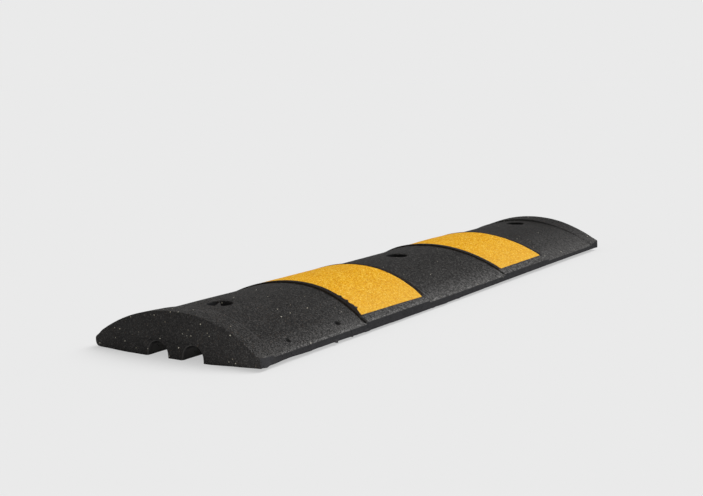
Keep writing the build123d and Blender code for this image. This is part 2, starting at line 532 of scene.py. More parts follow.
def side_column(drop, inset, lip, place):
    """Points (x, z) up a lip on the right of the section, from its foot to the crown."""
    turn = np.radians(np.linspace(-90, 0, FOOT_TURNS + 1))
    foot_z = lip_foot(lip, place) + lip.foot_round * (1 + np.sin(turn))
    drawn_in = lip.draft * (foot_z - LIP_CLEARANCE) / LIP_HEIGHT + lip.foot_round * (1 - np.cos(turn))
    foot = np.stack([lip.half_width - drawn_in - inset, foot_z], -1)
    top = lip_top(drop, inset, lip)
    face = np.linspace(foot[-1], top[0], LIP_STEPS + 1)[1:-1]
    return np.concatenate([foot, face, top])


def top_columns(drop, inset, place):
    """Points (x, z) across the crown, from the left side to the right, with columns at both pocket walls."""
    middle = spread([0, HOLE_BLOCK, FINE_START], SPACING)
    halves = []
    for side, lip, wall in (("left", LEFT_LIP, PANEL_HALF_WIDTH), ("right", RIGHT_LIP, right_wall(place))):
        fine = np.linspace(FINE_START, wall - POCKET_WALL / 2, FINE_COLUMNS[side] + 1)
        outer = np.linspace(wall + POCKET_WALL / 2, lip_top(drop, inset, lip)[-1, 0], EDGE_COLUMNS + 1)
        halves.append(np.concatenate([middle, fine[1:], outer]))
    left, right = halves
    x = np.concatenate([-left[:0:-1], right])
    return np.stack([x, crown_height(x, drop, inset)], -1)


def crest_column(column_x):
    """Number of the column that runs along the crest."""
    return int(np.searchsorted(column_x, 0))


def base_columns(counts, inset, flare, place):
    """Points (x, z) across the underside, round both channels, in a count of steps left and right."""
    radius = CHANNEL_RADIUS + flare
    turn = np.linspace(0, np.pi, CHANNEL_COLUMNS - 1)
    rib_x = np.linspace(0, CHANNEL_OFFSET - radius, RIB_COLUMNS // 2 + 1)
    top_x = CHANNEL_OFFSET - radius * np.cos(turn)
    top_z = CHANNEL_HEIGHT - CHANNEL_RADIUS + radius * np.sin(turn)
    halves = []
    for lip, count in zip((LEFT_LIP, RIGHT_LIP), counts):
        foot_x = lip.half_width - lip.foot_round
        block_count = count - RIB_COLUMNS // 2 - CHANNEL_COLUMNS
        block_x = np.linspace(top_x[-1], foot_x - inset, block_count + 1)
        block_z = np.interp(block_x, [lip.flat_half_width, foot_x], [0, lip_foot(lip, place)])
        half_x = np.concatenate([rib_x, top_x, block_x])
        half_z = np.concatenate([np.zeros(len(rib_x)), top_z, block_z])
        halves.append(np.stack([half_x, half_z], -1))
    left, right = halves
    return np.concatenate([left[:0:-1] * [-1, 1], right])


# Stations along the body, measured along the lips, where no line is bowed

def bow_share(x):
    """Share of a line's bow at a distance from the middle: all of it on the crest, none at the lips."""
    return 1 - (x / HALF_WIDTH)**2


def panel_lines(end):
    """Stations of the two edges of a facing, in order."""
    low, high = PANEL_BOXES[end]
    corner_bow = EDGE_BOW * bow_share(high.x)
    if end == "near":
        return low.y - corner_bow, high.y - EDGE_BOW
    return low.y + EDGE_BOW, high.y + corner_bow


def right_wall(place):
    """Place across of the facings' right edges at a station: the facings lie a little askew."""
    stations = [*panel_lines("near"), *panel_lines("far")]
    offsets = [*PANEL_ASKEW["near"], *PANEL_ASKEW["far"]]
    return PANEL_HALF_WIDTH + np.interp(place, stations, offsets)


def band_lines(end):
    """Stations of the two edges of a raised band, in order."""
    first, last = panel_lines(end)
    return first - PANEL_END_MARGIN, last + PANEL_END_MARGIN


def riser_points():
    """Stations, in order, where the share of the step changes, with that share."""
    near_first, near_last = band_lines("near")
    far_first, far_last = band_lines("far")
    lines = (
        (-RIM_LINE, -1, NEAR_RIM_PROFILE, NEAR_ZONE_SHARE),
        (near_first, 1, BAND_PROFILE, NEAR_ZONE_SHARE),
        (near_last, -1, BAND_PROFILE, MIDDLE_ZONE_SHARE),
        (far_first, 1, BAND_PROFILE, MIDDLE_ZONE_SHARE),
        (far_last, -1, BAND_PROFILE, 0.0),
        (RIM_LINE, 1, FAR_RIM_PROFILE, 0.0),
    )
    points = []
    for line, way, profile, least in lines:
        points.extend(sorted((line + way * offset, max(share, least)) for offset, share in profile))
    return np.array(points).T


def bow_knots():
    """Stations, in order, between which the bow changes evenly, with the bow at each."""
    outer, inner = band_lines("near")
    hole = HOLE_PLACES["near"]
    near_half = (
        (-HALF_LENGTH, 0.0),
        (-RIM_LINE, EDGE_BOW),
        (hole - HOLE_BLOCK, 0.0),
        (hole + HOLE_BLOCK, 0.0),
        (outer, EDGE_BOW),
        (inner, EDGE_BOW),
        (-HOLE_BLOCK, 0.0),
    )
    far_half = tuple((-station, -bow) for station, bow in reversed(near_half))
    return np.array(near_half + far_half).T


def unbowed_station(x, y):
    """Station of the bowed line that passes through a place."""
    stations, bows = bow_knots()
    return np.interp(y, stations + bows * bow_share(x), stations)


def row_places():
    """Every station of the body's mesh, with one at each feature."""
    breaks = [*(-HALF_LENGTH + END_ROWS), *(HALF_LENGTH - END_ROWS), *riser_points()[0]]
    for end in PANEL_BOXES:
        for wall in panel_lines(end):
            breaks.extend((wall - POCKET_WALL / 2, wall + POCKET_WALL / 2))
    for place in HOLE_PLACES.values():
        breaks.extend((place - HOLE_BLOCK, place + HOLE_BLOCK))
    for across, along, *_ in PITS:
        station = unbowed_station(across, along)
        breaks.extend(np.arange(-PIT_REACH, PIT_REACH, FINE_SPACING) + station)
    return spread(np.unique(np.round(breaks, STATION_DIGITS)), SPACING)


def pocket_share(x, station):
    """1 where a facing's pocket is at its full depth, 0 outside the pockets."""
    wall = [-POCKET_WALL / 2, POCKET_WALL / 2]
    edge = np.where(x > 0, right_wall(station), PANEL_HALF_WIDTH)
    within_width = np.interp(edge - np.abs(x), wall, [0, 1])
    share = np.zeros(np.broadcast(x, station).shape)
    for first, last in map(panel_lines, PANEL_BOXES):
        within_length = np.interp((last - first) / 2 - np.abs(station - (first + last) / 2), wall, [0, 1])
        share = np.maximum(share, np.minimum(within_width, within_length))
    return share


# Shaping that is laid over the regular pieces

def with_round_corners(flat, half_width, half_length, radius):
    """Points (x, y) of a rectangle about the origin, with its corners rounded."""
    centre = np.array([half_width, half_length]) - radius
    past = np.abs(flat) - centre
    corner = (past > 0).all(axis=1)
    squeeze = past[corner].max(axis=1) / np.hypot(*past[corner].T)
    moved = flat.copy()
    moved[corner] = np.sign(flat[corner]) * (centre + past[corner] * squeeze[:, None])
    return moved


def shaped(points, *moves):
    """Points after some moves, each of which gives the offsets of places in x, y and z."""
    for move in moves:
        points = points + np.stack(np.broadcast_arrays(*move(*points.T)), -1)
    return points


def rim_lips(x, station, z):
    """Rims that stand proud of their profile, or short of it."""
    past = np.abs(station) - RIM_LINE
    up = np.clip((z - LIP_CLEARANCE) / (crown_height(x, 0) - LIP_CLEARANCE), 0, 1)
    on_rim = np.clip(past / RIM_EDGE_RUN, 0, 1) * up
    way = np.clip(past / RIM_RISE_RUN, 0, 1)
    near_inner, near_outer, far_inner, far_outer = (
        np.interp(x, *np.array(rise).T)
        for rise in (NEAR_RIM_INNER_RISE, NEAR_RIM_RISE, FAR_RIM_INNER_RISE, FAR_RIM_RISE)
    )
    inner = np.where(station < 0, near_inner, far_inner)
    outer = np.where(station < 0, near_outer, far_outer)
    at_lip = np.clip((x / HALF_WIDTH - FAR_LIP_SPREAD_START) / (1 - FAR_LIP_SPREAD_START), 0, 1)
    spread_share = on_rim * way * (station > 0) * at_lip
    return FAR_LIP_SPREAD * spread_share, 0, on_rim * (inner + (outer - inner) * way)


def tears(x, station, z):
    """Torn places along the edges of the near facing and of its band, in facing and rubber alike."""
    along = 0
    for line, places in ((panel_lines("near")[0], PANEL_TEARS), (band_lines("near")[0], (BAND_TEAR,))):
        for place, half_width, depth in places:
            along = along + depth * hump(x - place, half_width) * hump(station - line, TEAR_REACH)
    return 0, along, 0


def bow(x, station, z):
    """Bow of the line that each place lies on."""
    return 0, np.interp(station, *bow_knots()) * bow_share(x), 0


def away_from_holes(x, y):
    """0 in and round the holes, 1 a little way off."""
    distance = np.min([np.hypot(x, y - place) for place in HOLE_PLACES.values()], axis=0)
    return np.clip(distance / HOLE_BLOCK - 1, 0, 1)


def wander(x, y, z):
    """Small moves in plan, so that no moulded line is quite straight."""
    share = away_from_holes(x, y)
    return uneven(WANDER_ACROSS, x, y, z) * share, uneven(WANDER_ALONG, x, y, z) * share, 0


def flash(x, y, z):
    """Thin ragged flash, drawn out at the foot of both lips."""
    at_lip = np.abs(x) > HALF_WIDTH - FLASH_HEIGHT
    low_share = np.clip(1 - (z - LIP_CLEARANCE) / FLASH_HEIGHT, 0, 1) * at_lip
    length = np.maximum(uneven(FLASH, x, y, z) - FLASH_CUT, 0)
    for place, half_width, reach in FLASH_TONGUES:
        length = np.maximum(length, reach * hump(y - place, half_width) * (x > 0))
    return np.sign(x) * length * low_share, 0, -FLASH_DROOP * length * low_share


def roughen(made, lift, is_sheet=False):
    """Moves the points of a mesh out along their normals by a lift that depends on where they are.

    Both faces of a sheet are lifted the same way, so that it keeps its thickness.
    """
    mesh = made.data
    points = np.empty(len(mesh.vertices) * 3)
    normals = np.empty(len(mesh.vertices) * 3)
    mesh.vertices.foreach_get("co", points)
    mesh.vertex_normals.foreach_get("vector", normals)
    points, normals = points.reshape(-1, 3) / MM, normals.reshape(-1, 3)
    if is_sheet:
        normals = normals * np.sign(normals[:, 2:])
    moved = points + normals * lift(*points.T)[:, None]
    moved[:, 2] = np.maximum(moved[:, 2], 0)
    mesh.vertices.foreach_set("co", moved.ravel() * MM)
    mesh.update()


def swell(x, y, z):
    """Lift of the swells on the left slope."""
    lift = sum(height * hump(y - along, half_length) for along, half_length, height in SWELLS)
    return lift * hump(x - SWELL_PLACE, SWELL_HALF_WIDTH) * (z > HEIGHT / 2)


def body_lift(x, y, z):
    """Grain, waves, swells and pits of the body."""
    lift = (uneven(GRAIN, x, y, z) + uneven(WAVES, x, y, z)) * away_from_holes(x, y) + swell(x, y, z)
    for across, along, half_width, half_length, depth in PITS:
        lift -= depth * hump(np.hypot((x - across) / half_width, (y - along) / half_length), 1)
    return lift


def panel_lift(x, y, z):
    """Grain, waves and swells of a facing."""
    return uneven(WAVES, x, y, z) + uneven(PANEL_GRAIN, x, y, z) + swell(x, y, z)


# Body

def worn_columns(columns, share, *where):
    """Points (x, z) on a section whose step has kept a share of its height."""
    low, raised = columns(STEP_HEIGHT, *where), columns(0, *where)
    return low + (raised - low) * share


def body_grids():
    """Points of the body's crown, sides and underside at every station, before the holes are let in."""
    places = row_places()
    shares = np.interp(places, *riser_points())
    tops, left_sides, right_sides, bases = [], [], [], []
    for place, share in zip(places, shares):
        end_distance = HALF_LENGTH - abs(place)
        inset = rounding(end_distance, END_ROUND)
        flare = rounding(end_distance, MOUTH_ROUND)
        top = worn_columns(top_columns, share, inset, place)
        tops.append(top)
        left_sides.append(worn_columns(side_column, share, inset, LEFT_LIP, place))
        right_sides.append(worn_columns(side_column, share, inset, RIGHT_LIP, place))
        crest = crest_column(top[:, 0])
        bases.append(base_columns((crest, len(top) - 1 - crest), inset, flare, place))
    grids = [in_space(np.stack(sections, 1), places) for sections in (tops, left_sides, right_sides, bases)]
    grids[1][..., 0] *= -1
    return places, *grids


def in_space(section, places):
    """Points (x, z) at each station as points (x, y, z)."""
    y = np.broadcast_to(places, section.shape[:-1])
    return np.stack([section[..., 0], y, section[..., 1]], -1)


def hole_blocks(column_x, places):
    """Block of the crown's mesh round each hole: (first column, last column, first row, last row)."""
    columns = np.flatnonzero(np.abs(column_x) <= HOLE_BLOCK + SLACK)
    blocks = []
    for hole in HOLE_PLACES.values():
        rows = np.flatnonzero(np.abs(places - hole) <= HOLE_BLOCK + SLACK)
        blocks.append((columns[0], columns[-1], rows[0], rows[-1]))
    return blocks


def base_rows(shafts, count):
    """Those of a count of rows that the underside has: all at the ends and bolt holes, few between."""
    ends = range(len(END_ROWS))
    wanted = {*range(0, count, BASE_ROW_STRIDE), *ends, *(count - 1 - row for row in ends)}
    for first, last in shafts:
        wanted.update(range(first, last + 1))
    return sorted(wanted)


def build_rubber_body():
    """The moulded body, as one closed mesh."""
    shell = Shell()
    places, top, left_side, right_side, base = body_grids()
    top[..., 2] -= PANEL_THICKNESS * pocket_share(top[..., 0], top[..., 1])
    column_x = top[:, 0, 0]

    # Crown, with an opening left round each hole
    crown = shell.add(top)
    blocks = hole_blocks(column_x, places)
    rims = shell.patch(crown, blocks)

    # Sides, which share their top points with the crown
    right = np.concatenate([shell.add(right_side[:-1]), crown[-1:]])
    left = np.concatenate([shell.add(left_side[:-1]), crown[:1]])
    shell.patch(right)
    shell.patch(left)

    # Underside between the sides' feet, with openings that are half as long as those in the crown
    quarters = [(last - first) // 4 for *_, first, last in blocks]
    shafts = [(first + part, last - part) for (*_, first, last), part in zip(blocks, quarters)]
    rows = base_rows(shafts, len(places))
    base = base[1:-1, rows]
    underside = shell.add(base)
    rib = crest_column(column_x) - 1 - RIB_COLUMNS // 2
    openings = [(rib, rib + RIB_COLUMNS, rows.index(first), rows.index(last)) for first, last in shafts]
    base_rims = shell.patch(underside, openings)
    for index, (first, last) in enumerate(zip(rows, rows[1:])):
        for foot, inner in ((left[0], underside[0]), (right[0], underside[-1])):
            shell.faces.append([*foot[first:last + 1].tolist(), int(inner[index + 1]), int(inner[index])])

    # End faces
    shares = np.linspace(0, 1, len(right))[1:-1, None, None]
    for row in (0, -1):
        inner = shell.add(base[:, row] + (top[1:-1, row] - base[:, row]) * shares)
        between = np.concatenate([underside[None, :, row], inner, crown[None, 1:-1, row]])
        shell.patch(np.concatenate([left[:, row, None], between, right[:, row, None]], axis=1))

    for end, rim, base_rim in zip(HOLE_PLACES, rims, base_rims):
        add_hole(shell, end, rim, base_rim)
    shell.points[:, :2] = with_round_corners(shell.points[:, :2], HALF_WIDTH, HALF_LENGTH, CORNER_ROUND)
    shell.points = shaped(shell.points, rim_lips, tears, bow, wander, flash)
    body = shell.mesh_object("rubber_moulding")
    roughen(body, body_lift)
    return body


def add_hole(shell, end, rim, base_rim):
    """Counterbore, washer space and bolt hole from an opening in the crown to one in the underside."""
    place = HOLE_PLACES[end]
    washer_low, washer_high = WASHER_BOXES[end]

    def bearings(numbers):
        x, y, _ = shell.points[numbers].T
        return np.arctan2(y - place, x)

    def circle(radius, angles):
        return np.stack([radius * np.cos(angles), place + radius * np.sin(angles)], -1)

    def crest(flat):
        return crown_height(flat[:, 0], STEP_HEIGHT)

    def ring(flat, height):
        return np.column_stack([flat, np.broadcast_to(height, len(flat))])

    # From the square opening to the round mouth
    angles = bearings(rim)
    square = shell.points[rim, :2]
    mouth = circle(COUNTERBORE_RADIUS + HOLE_ROUND, angles)
    rings = []
    for share in HOLE_APRON_SHARES:
        flat = square + (mouth - square) * share
        rings.append(ring(flat, crest(flat)))

    # Round the edge of the mouth, which is drawn out to a tongue in the near hole
    tongue = hump(angles - TONGUE_BEARING, TONGUE_HALF_ANGLE) * (end == "near")
    tongue_way = -np.array([np.cos(TONGUE_BEARING), np.sin(TONGUE_BEARING)])
    for turn in EDGE_TURNS[1:]:
        flat = circle(COUNTERBORE_RADIUS + HOLE_ROUND * (1 - np.sin(turn)), angles)
        flat += tongue[:, None] * TONGUE_LENGTH * tongue_way
        rings.append(ring(flat, crest(flat) - HOLE_ROUND * (1 - np.cos(turn)) + TONGUE_LIFT * tongue))

    # Down the wall, and round the washer
    wall = circle(COUNTERBORE_RADIUS, angles)
    wall_top = crest(wall) - HOLE_ROUND
    for share in np.linspace(0, 1, WALL_STEPS + 1)[1:]:
        rings.append(ring(wall, wall_top + (washer_high.z - wall_top) * share))
    for height in (washer_high.z, washer_low.z):
        rings.append(ring(circle(washer_high.x, angles), height))
    above = shell.tube(rim, rings)

    # The bolt hole has half as many points round it, so each of its quads meets two steps of the ring above
    shank = circle(BOLT_HOLE_RADIUS, bearings(base_rim))
    below = shell.add(ring(shank, washer_low.z))
    for index in range(len(below)):
        outer_three = [int(above[(2 * index + step) % len(above)]) for step in range(3)]
        shell.faces.append([*outer_three, int(below[(index + 1) % len(below)]), int(below[index])])
    heights = np.linspace(washer_low.z, 0, WALL_STEPS + 1)[1:]
    foot = shell.tube(below, [ring(shank, height) for height in heights])
    shell.band(foot, base_rim)


# Facings and washers

def build_panel(end):
    """One yellow facing, as a closed sheet that is bent over the crown."""
    shell = Shell()
    half = PANEL_HALF_WIDTH
    first, last = panel_lines(end)
    across = spread([*(-half + PANEL_EDGE_ROWS), *(half - PANEL_EDGE_ROWS[::-1])], PANEL_SPACING)
    along = spread([*(first + PANEL_EDGE_ROWS), *(last - PANEL_EDGE_ROWS[::-1])], PANEL_SPACING)
    x, station = np.meshgrid(across, along, indexing="ij")
    edge_distance = np.minimum(half - np.abs(x), np.minimum(station - first, last - station))
    way = (station - first) / (last - first)

    # Plan, with round corners, ragged edges and the right edge askew
    middle = np.array([0, (first + last) / 2])
    flat = np.stack([x, station], -1).reshape(-1, 2) - middle
    flat = with_round_corners(flat, half, (last - first) / 2, PANEL_CORNER_ROUND[end]) + middle
    flat_x, flat_y = flat.T.reshape(2, *x.shape)
    askew = (right_wall(station) - half) * np.clip((x - FINE_START) / (half - FINE_START), 0, 1)
    flat_x = flat_x + uneven(SIDE_EDGE_RAG, np.sign(x) * half, station, 0) * (x / half)**2 + askew
    flat_y = flat_y + uneven(FIRST_EDGE_RAG, x, first, 0) * (1 - way)
    flat_y = flat_y + uneven(LAST_EDGE_RAG, x, last, 0) * way

    edge_fall = PANEL_SUNK + rounding(edge_distance, PANEL_ROUND)
    top = shell.add(np.stack([flat_x, flat_y, crown_height(flat_x, 0) - edge_fall], -1))
    bottom = shell.add(np.stack([flat_x, flat_y, crown_height(flat_x, 0, PANEL_THICKNESS)], -1))
    shell.patch(top)
    shell.patch(bottom)
    shell.band(rim_of(top), rim_of(bottom))
    shell.points = shaped(shell.points, tears, bow, wander)
    panel = shell.mesh_object(f"yellow_facing_{end}")
    roughen(panel, panel_lift, is_sheet=True)
    return panel


def build_washer(end):
    """One punched washer: rounded edges on its upper side, sharp ones below."""
    shell = Shell()
    low, high = WASHER_BOXES[end]
    fall = WASHER_ROUND * (1 - np.cos(EDGE_TURNS))
    draw = WASHER_ROUND * (1 - np.sin(EDGE_TURNS))
    outer = np.stack([high.x - fall, high.z - draw], -1)
    inner = np.stack([BOLT_HOLE_RADIUS + fall[::-1], high.z - draw[::-1]], -1)
    face = np.linspace(outer[-1], inner[0], WASHER_FACE_STEPS + 1)[1:-1]
    under = [[BOLT_HOLE_RADIUS, low.z], [high.x, low.z]]
    radius, height = np.concatenate([outer, face, inner, under]).T[..., None]
    turns = np.linspace(0, 2 * np.pi, WASHER_TURNS, endpoint=False)
    x, y = radius * np.cos(turns), HOLE_PLACES[end] + radius * np.sin(turns)
    rings = shell.add(np.stack(np.broadcast_arrays(x, y, height), -1))
    for ring, next_ring in zip(rings, np.roll(rings, -1, axis=0)):
        shell.band(ring, next_ring)
    return shell.mesh_object(f"punched_washer_{end}")


# Materials

def grey(level):
    """A neutral colour."""
    return (level, level, level, 1)


def operation(kind):
    """A method for one kind of sum on a field and, where it takes one, a second value."""
    def work_out(field, other=0.0):
        return field.recipe.maths(kind, field, other)
    return work_out


class Field:
    """A value that changes from place to place on a surface, with sums that read as those on numbers."""

    def __init__(self, recipe, socket):
        self.recipe = recipe
        self.socket = socket

    __add__ = operation("ADD")
    __sub__ = operation("SUBTRACT")
    __mul__ = operation("MULTIPLY")
    __truediv__ = operation("DIVIDE")
    __gt__ = operation("GREATER_THAN")
    __lt__ = operation("LESS_THAN")
    __abs__ = operation("ABSOLUTE")
    root = operation("SQRT")
    or_more = operation("MAXIMUM")

    def __rsub__(self, first):
        return self.recipe.maths("SUBTRACT", first, self)

    def span(self, low, high, to_low=0.0, to_high=1.0):
        """The value moved from one range to another and held inside it."""
        inputs = {"Value": self, "From Min": low, "From Max": high, "To Min": to_low, "To Max": to_high}
        return self.recipe.field("ShaderNodeMapRange", "Result", inputs)

    def reach(self, other):
        """Distance that two offsets at right angles make together."""
        return (self * self + other * other).root()


class Recipe:
    """Nodes of a material or of the world, with short ways to add them."""

    def __init__(self, owner):
        owner.use_nodes = True
        self.tree = owner.node_tree

    def feed(self, socket, value):
        """Sets a socket to a number or a colour, or links it to a field."""
        if isinstance(value, Field):
            self.tree.links.new(value.socket, socket)
        else:
            socket.default_value = value

    def add(self, kind, inputs=None, **settings):
        """Adds a node with its settings and its inputs."""
        node = self.tree.nodes.new(kind)
        for name, value in settings.items():
            setattr(node, name, value)
        for name, value in (inputs or {}).items():
            self.feed(node.inputs[name], value)
        return node

    def field(self, kind, output, inputs=None, **settings):
        """Adds a node and returns one of its outputs."""
        return Field(self, self.add(kind, inputs, **settings).outputs[output])

    def maths(self, kind, first, second=0.0):
        """One sum on two values."""
        return self.field("ShaderNodeMath", "Value", {0: first, 1: second}, operation=kind)

    def show_plain(self, lit, plain, share, output):
        """Shows a plain shader by a share, and a lit one by the rest, to the rays that a viewer sees by."""
        rays = self.add("ShaderNodeLightPath").outputs
        seen = 0.0
        for kind in ("Is Camera Ray", "Is Glossy Ray", "Is Transmission Ray"):
            seen = Field(self, rays[kind]).or_more(seen)
        shown = self.field("ShaderNodeMixShader", "Shader", {0: seen * share, 1: lit, 2: plain})
        self.feed(self.tree.nodes[output].inputs["Surface"], shown)


class Surface(Recipe):
    """Recipe of one procedural material, whose colour is laid on coat by coat."""

    def __init__(self, name):
        self.material = bpy.data.materials.new(name)
        super().__init__(self.material)
        self.shader = self.tree.nodes["Principled BSDF"]
        self.place = self.field("ShaderNodeTexCoord", "Object")
        self.x, self.y, self.z = (part / MM for part in self.parts(self.place))
        self.off_crest = abs(self.x)

    def parts(self, vector):
        """The three parts of a vector."""
        return [Field(self, part) for part in self.add("ShaderNodeSeparateXYZ", {"Vector": vector}).outputs]

    def noise(self, size, detail, *change):
        """Noise with features about a size across, from about 0.25 to 0.75 if it isn't changed."""
        inputs = {"Vector": self.place, "Scale": 1 / (size * MM), "Detail": detail}
        field = self.field("ShaderNodeTexNoise", "Fac", inputs)
        return field.span(*change) if change else field

    def cells(self, size):
        """Cells about a size across: distance from the middle of each, and two random numbers per cell."""
        node = self.add("ShaderNodeTexVoronoi", {"Vector": self.place, "Scale": 1 / (size * MM)})
        picks = self.add("ShaderNodeSeparateColor", {"Color": Field(self, node.outputs["Color"])}).outputs
        return [Field(self, socket) for socket in (node.outputs["Distance"], picks["Red"], picks["Green"])]

    def graded_cells(self, near_size, far_size):
        """Cells of one size at the near end, with more and more of another size among them further along."""
        near, far = self.cells(near_size), self.cells(far_size)
        choice = self.y.span(*GRANULES_CHANGE) > far[2]
        return [self.blend(choice, first, second) for first, second in zip(near, far)]

    def blend(self, share, first, second):
        """Two values mixed by a share."""
        inputs = {"Factor": share, "A": first, "B": second}
        return self.field("ShaderNodeMix", "Result", inputs, data_type="FLOAT")

    def mix(self, share, first, second, blend="MIX"):
        """Two colours mixed by a share."""
        inputs = {MIX_SHARE: share, MIX_FIRST: first, MIX_SECOND: second}
        return self.field("ShaderNodeMix", MIX_RESULT, inputs, data_type="RGBA", blend_type=blend)

    def times(self, colour, factor):
        """A colour multiplied by a value or by another colour."""
        return self.mix(1.0, colour, factor, "MULTIPLY")

    def ramp(self, value, stops):
        """Colour from a list of (place, red, green, blue)."""
        node = self.add("ShaderNodeValToRGB", {"Fac": value})
        elements = node.color_ramp.elements
        while len(elements) < len(stops):
            elements.new(1.0)
        for element, (place, *colour) in zip(elements, stops):
            element.position = place
            element.color = (*colour, 1)
        return Field(self, node.outputs["Color"])

    def tint(self, factor):
        """Multiplies the colour so far by a value or by another colour."""
        self.colour = self.times(self.colour, factor)

    def cover(self, share, colour):
        """Lays a colour over the one so far, by a share."""
        self.colour = self.mix(share, self.colour, colour)

    def bump(self, field, height, strength):
        """Bumps of a field, on the shader's normal."""
        inputs = {"Height": field, "Distance": height * MM, "Strength": strength}
        self.feed(self.shader.inputs["Normal"], self.field("ShaderNodeBump", "Normal", inputs))

    def finish(self, **inputs):
        """Sets the shader's inputs and returns the material."""
        for name, value in {"Base_Color": self.colour, **inputs}.items():
            self.feed(self.shader.inputs[name.replace("_", " ")], value)
        return self.material


class BlackRubber(Surface):
    """Bonded black granules, with what was cut, smoothed and dusted about them, and light and shade painted
    on the ends, slopes, lips' edges, channels, margins, rims, crease, pits and counterbores.
    """

    def __init__(self):
        super().__init__("black_crumb_rubber")
        across, along, self.upward = self.parts(self.field("ShaderNodeNewGeometry", "Normal"))
        self.lip_facing = abs(across).span(*LIP_FACING)
        self.end_facing = abs(along).span(*END_FACING)
        self.riser_facing = abs(along).span(*RISER_FACING)
        self.at_near_end = self.y < 0.0
        self.at_far_end = self.y > 0.0
        self.far_zone = self.y.span(*FAR_ZONE)
        self.depth = HALF_LENGTH - abs(self.y)

        # Distance from mid length, measured along the lips, of the bowed line that a place lies on
        self.station = abs(self.y) + (self.x * self.x).span(0.0, HALF_WIDTH**2, EDGE_BOW, 0.0)
        self.past_rim_line = self.station - RIM_LINE
        self.near_rim = self.past_rim_line.span(*ON_RIM) * self.at_near_end

    def granules(self):
        """Granules of many tones, a few of them brown."""
        self.distance, tone, kind = self.graded_cells(*BLACK_GRANULES)
        self.tone = self.blend(self.far_zone * FAR_ZONE_EVENNESS, tone, MIDDLE_TONE)
        self.colour = self.ramp(self.tone, BLACK_TONES)
        self.cover(kind.span(*BROWN_PICK), BROWN_GRANULE)
        self.tint(self.y.span(*DARKER_ALONG))
        self.tint(self.blend(self.near_rim, 1.0, NEAR_RIM_TINT))

    def cut_ends_with_painted_light(self):
        """Cut ends, which are closer in tone, with painted light that makes them paler, the more so towards
        the right.
        """
        cut = self.mix(CUT_EVENNESS, self.colour, CUT_RUBBER)
        self.cover(self.end_facing, self.times(cut, self.x.span(*END_PAINTED_LIGHT)))

    def smooth_lips(self):
        """Lips that came smooth from the mould."""
        skin = self.ramp(self.noise(*LIP_NOISE), LIP_TONES)
        self.cover(self.lip_facing * LIP_SMOOTHNESS, self.times(skin, self.y.span(*LIP_PALE_END)))

    def slope_dust_and_sheen(self):
        """Pale dust and a painted sheen on the lower slopes, least at the near end."""
        foot = self.off_crest.span(*FOOT_DUST_AND_SHEEN) * self.y.span(*FOOT_DUST_AND_SHEEN_ALONG)
        upper_along = self.y.span(*UPPER_DUST_AND_SHEEN_STARTS) * self.y.span(*UPPER_DUST_AND_SHEEN_THINS)
        low_slope = foot + upper_along * self.off_crest.span(*UPPER_DUST_AND_SHEEN)
        low_slope = low_slope * self.blend(self.near_rim, 1.0, NEAR_RIM_DUST_AND_SHEEN)
        far_slope = self.off_crest.span(*FAR_UPPER_DUST_AND_SHEEN) + self.off_crest.span(*FAR_FOOT_DUST_AND_SHEEN)
        amount = self.blend(self.far_zone, low_slope, far_slope)
        lying = self.upward.span(*DUST_AND_SHEEN_LIES) * self.noise(*DUST_AND_SHEEN_PATCHES)
        self.cover(amount * lying, self.ramp(self.tone, DUST_AND_SHEEN_TONES))

    def lip_dust_and_highlight(self):
        """Pale specks of dust and a painted highlight along the lips' edges."""
        amount = self.y.span(*LIP_DUST_AND_HIGHLIGHT_STARTS) * self.y.span(*LIP_DUST_AND_HIGHLIGHT_ENDS) * self.noise(*LIP_DUST_AND_HIGHLIGHT_PATCHES)
        edge = self.off_crest.span(*LIP_DUST_AND_HIGHLIGHT) * self.upward.span(*LIP_DUST_AND_HIGHLIGHT_LIES)
        self.cover(edge * amount, self.ramp(self.tone, LIP_DUST_AND_HIGHLIGHT_TONES))

    def channel_light_and_shade(self):
        """Painted light on the channels' walls and rounded mouths, with painted shade at their tops above it.
        """
        across = abs(self.off_crest - CHANNEL_OFFSET) < CHANNEL_RADIUS + MOUTH_ROUND
        inside = across * (self.z < CHANNEL_HEIGHT + MOUTH_ROUND) * (1.0 - self.end_facing)
        below_top = CHANNEL_HEIGHT - self.z
        # Painted light on the walls, paler deeper in, and on the mouths' rounding
        wall = below_top.span(*CHANNEL_LIGHT_BELOW) * self.depth.span(*CHANNEL_LIGHT_STARTS)
        wall_light = self.mix(self.depth.span(*CHANNEL_LIGHT_PALES), CHANNEL_WALL_LIGHT, DEEP_CHANNEL_LIGHT)
        self.cover(inside * wall * self.depth.span(*CHANNEL_LIGHT_ENDS), wall_light)
        self.cover(inside * self.depth.span(*MOUTH_LIGHT_ENDS), MOUTH_LIGHT)
        # Painted shade at the channels' tops
        top = below_top.span(*CHANNEL_SHADE_ABOVE) * self.depth.span(*CHANNEL_SHADE_STARTS)
        self.cover(inside * top, CHANNEL_TOP_SHADE)

    def crease(self):
        """Ragged line of painted shade across the near end, where a dark crease runs at the height of the
        channels' tops.
        """
        line = abs(self.z + self.noise(*CREASE_RAG) - CREASE_HEIGHT).span(*CREASE_LINE)
        run = abs(self.x - CREASE_PLACE).span(*CREASE_RUN)
        self.cover(line * run * self.at_near_end * self.end_facing, CREASE_SHADE)

    def pores_and_flecks(self):
        """Dark pores between the granules, and pale flecks of foreign rubber, most on the cut ends."""
        distance, _, pick = self.cells(PORE_SPACING)
        self.cover(distance.span(*PORE_EDGE) * (pick > PORE_PICK), PORE_AND_SHADE_BLACK)
        distance, tone, pick = self.cells(FLECK_SPACING)
        wanted = pick > self.blend(self.end_facing, *FLECK_PICKS)
        self.cover(distance.span(*FLECK_EDGE) * wanted, self.ramp(tone, FLECK_TONES))

